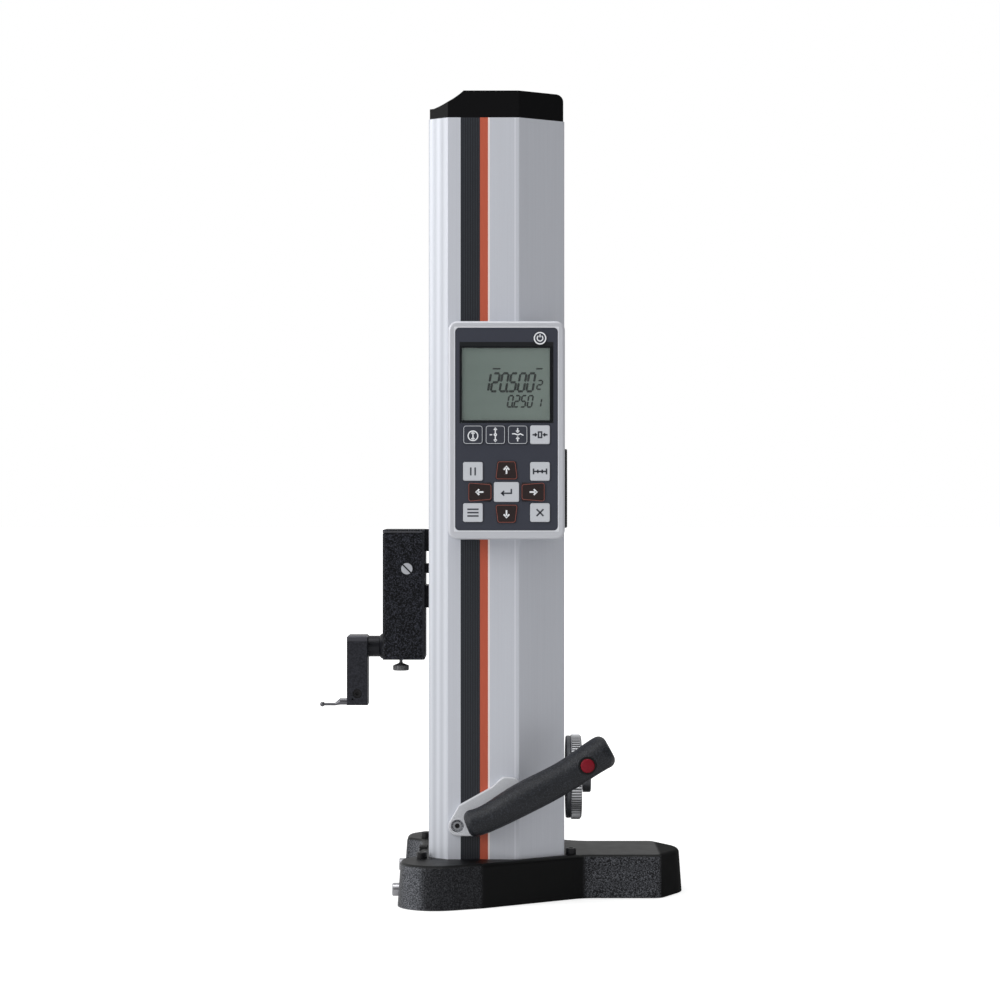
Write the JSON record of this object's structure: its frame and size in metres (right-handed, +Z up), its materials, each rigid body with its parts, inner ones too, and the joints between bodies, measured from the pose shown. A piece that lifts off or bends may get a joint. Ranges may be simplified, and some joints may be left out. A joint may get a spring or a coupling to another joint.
{
  "type": "height gauge",
  "caption": "Digital height gauge: cast base on air pads, covered column, slider with turnable probe arm lifted by a handwheel, display with keys, rubber grip with air button.",
  "frame": {"origin": "middle of the base, on the sole that rests on the surface plate", "axes": "+Z up; +X from the probe side to the handwheel side; -Y towards the operator, who faces the display"},
  "size_m": [0.3607, 0.273, 0.784],
  "materials": {
    "cast_black": "hammertone sides, smooth top",
    "cover_silver": "satin anodised",
    "stripe_dark": "ribbed",
    "stripe_orange": "satin",
    "cap_black": "satin",
    "screw_black": "oxide",
    "steel": "ground",
    "steel_bright": "turned",
    "aluminium_plain": "machined",
    "aluminium_black": "black anodised",
    "slider_black": "hammertone cast aluminium",
    "rubber_black": "matte",
    "brass_plain": "lapped",
    "housing_silver": "satin paint",
    "bracket_silver": "fine cast",
    "panel_dark": "satin",
    "window_clear": "clear with a dark border",
    "lcd_grey": "matte",
    "key_light": "satin",
    "key_dark": "satin",
    "key_brown": "satin",
    "button_red": "satin",
    "pump_grey": "moulded"
  },
  "bodies": {
    "stand": {"base_casting": "cast_black", "base_bottom_covers": "aluminium_plain", "air_pads": "brass_plain", "air_pump": "pump_grey", "battery_pack": "pump_grey", "base_screws": "screw_black", "steel_screws": "steel_bright", "stop_pad": "rubber_black", "near_side_cover": "cover_silver", "far_side_cover": "cover_silver", "front_strips": "cover_silver", "rear_cover": "cover_silver", "dark_stripes": "stripe_dark", "orange_stripes": "stripe_orange", "top_cap": "cap_black", "rear_connector_panel": "cap_black", "guide_column": "steel", "linear_rail": "steel_bright", "scale_strip": "steel_bright", "drive_band": "steel_bright", "idler_bracket": "steel", "shaft_bearings": "steel_bright", "display_housing": "housing_silver", "key_panel": "panel_dark", "lcd_window": "window_clear", "lcd_module": "lcd_grey", "grip_bracket": "bracket_silver", "grip": "rubber_black"},
    "slider": {"rail_bearings": "steel", "slider_bracket": "aluminium_black", "band_arm": "aluminium_plain", "read_head": "aluminium_black", "slider_cover": "slider_black", "probe_bearing": "aluminium_black", "side_screw": "steel_bright"},
    "probe": {"probe_spindle": "aluminium_black", "probe_arm": "aluminium_black", "stylus_clamp_screw": "screw_black", "stylus": "steel_bright"},
    "handwheel": {"wheel_shaft": "steel", "handwheel_hub": "cap_black", "handwheel_rim": "aluminium_plain"},
    "air_button": {"air_button": "button_red"},
    "clamp_knob": {"clamp_knob": "cap_black"},
    "counterweight": {"counterweight": "steel"},
    "idler_pulley": {"idler_pulley": "aluminium_plain"},
    "top_key_4": {"top_key_4": "key_light"},
    "left_upper_key": {"left_upper_key": "key_light"},
    "left_lower_key": {"left_lower_key": "key_light"},
    "right_upper_key": {"right_upper_key": "key_light"},
    "right_lower_key": {"right_lower_key": "key_light"},
    "enter_key": {"enter_key": "key_light"},
    "power_key": {"power_key": "key_light"},
    "top_key_1": {"top_key_1": "key_dark"},
    "top_key_2": {"top_key_2": "key_dark"},
    "top_key_3": {"top_key_3": "key_dark"},
    "up_key": {"up_key": "key_brown"},
    "down_key": {"down_key": "key_brown"},
    "left_key": {"left_key": "key_brown"},
    "right_key": {"right_key": "key_brown"}
  },
  "joints": [
    {"name": "slider_lift", "type": "slide", "parent": "stand", "child": "slider", "axis": [0, 0, 1], "range_m": [-0.182, 0.168]},
    {"name": "counterweight_drop", "type": "slide", "parent": "stand", "child": "counterweight", "axis": [0, 0, 1], "range_m": [-0.1685, 0.1825]},
    {"name": "handwheel_turn", "type": "hinge", "parent": "stand", "child": "handwheel", "pos_m": [0.03, 0, 0.1126], "axis": [1, 0, 0], "range_deg": [-581, 629]},
    {"name": "idler_turn", "type": "hinge", "parent": "stand", "child": "idler_pulley", "pos_m": [0, 0, 0.6998], "axis": [1, 0, 0], "range_deg": [-581, 629]},
    {"name": "probe_turn", "type": "hinge", "parent": "slider", "child": "probe", "pos_m": [-0.165, 0, 0.2428], "axis": [1, 0, 0], "range_deg": [0, 180]},
    {"name": "clamp_knob_turn", "type": "hinge", "parent": "slider", "child": "clamp_knob", "pos_m": [-0.1402, 0, 0.2206], "axis": [0, 0, 1], "range_deg": [-360, 360]},
    {"name": "air_button_press", "type": "slide", "parent": "stand", "child": "air_button", "axis": [0, 1, 0], "range_m": [0, 0.0025], "stiffness_N_per_m": 600},
    {"name": "top_key_4_press", "type": "slide", "parent": "stand", "child": "top_key_4", "axis": [0, 1, 0], "range_m": [0, 0.001], "stiffness_N_per_m": 500},
    {"name": "left_upper_key_press", "type": "slide", "parent": "stand", "child": "left_upper_key", "axis": [0, 1, 0], "range_m": [0, 0.001], "stiffness_N_per_m": 500},
    {"name": "left_lower_key_press", "type": "slide", "parent": "stand", "child": "left_lower_key", "axis": [0, 1, 0], "range_m": [0, 0.001], "stiffness_N_per_m": 500},
    {"name": "right_upper_key_press", "type": "slide", "parent": "stand", "child": "right_upper_key", "axis": [0, 1, 0], "range_m": [0, 0.001], "stiffness_N_per_m": 500},
    {"name": "right_lower_key_press", "type": "slide", "parent": "stand", "child": "right_lower_key", "axis": [0, 1, 0], "range_m": [0, 0.001], "stiffness_N_per_m": 500},
    {"name": "enter_key_press", "type": "slide", "parent": "stand", "child": "enter_key", "axis": [0, 1, 0], "range_m": [0, 0.001], "stiffness_N_per_m": 500},
    {"name": "power_key_press", "type": "slide", "parent": "stand", "child": "power_key", "axis": [0, 1, 0], "range_m": [0, 0.001], "stiffness_N_per_m": 500},
    {"name": "top_key_1_press", "type": "slide", "parent": "stand", "child": "top_key_1", "axis": [0, 1, 0], "range_m": [0, 0.001], "stiffness_N_per_m": 500},
    {"name": "top_key_2_press", "type": "slide", "parent": "stand", "child": "top_key_2", "axis": [0, 1, 0], "range_m": [0, 0.001], "stiffness_N_per_m": 500},
    {"name": "top_key_3_press", "type": "slide", "parent": "stand", "child": "top_key_3", "axis": [0, 1, 0], "range_m": [0, 0.001], "stiffness_N_per_m": 500},
    {"name": "up_key_press", "type": "slide", "parent": "stand", "child": "up_key", "axis": [0, 1, 0], "range_m": [0, 0.001], "stiffness_N_per_m": 500},
    {"name": "down_key_press", "type": "slide", "parent": "stand", "child": "down_key", "axis": [0, 1, 0], "range_m": [0, 0.001], "stiffness_N_per_m": 500},
    {"name": "left_key_press", "type": "slide", "parent": "stand", "child": "left_key", "axis": [0, 1, 0], "range_m": [0, 0.001], "stiffness_N_per_m": 500},
    {"name": "right_key_press", "type": "slide", "parent": "stand", "child": "right_key", "axis": [0, 1, 0], "range_m": [0, 0.001], "stiffness_N_per_m": 500}
  ],
  "couplings": [
    {"joint": "counterweight_drop", "follows": "slider_lift", "ratio": -1},
    {"joint": "handwheel_turn", "follows": "slider_lift", "rad_per_m": -60.241},
    {"joint": "idler_turn", "follows": "slider_lift", "rad_per_m": -60.241}
  ]
}
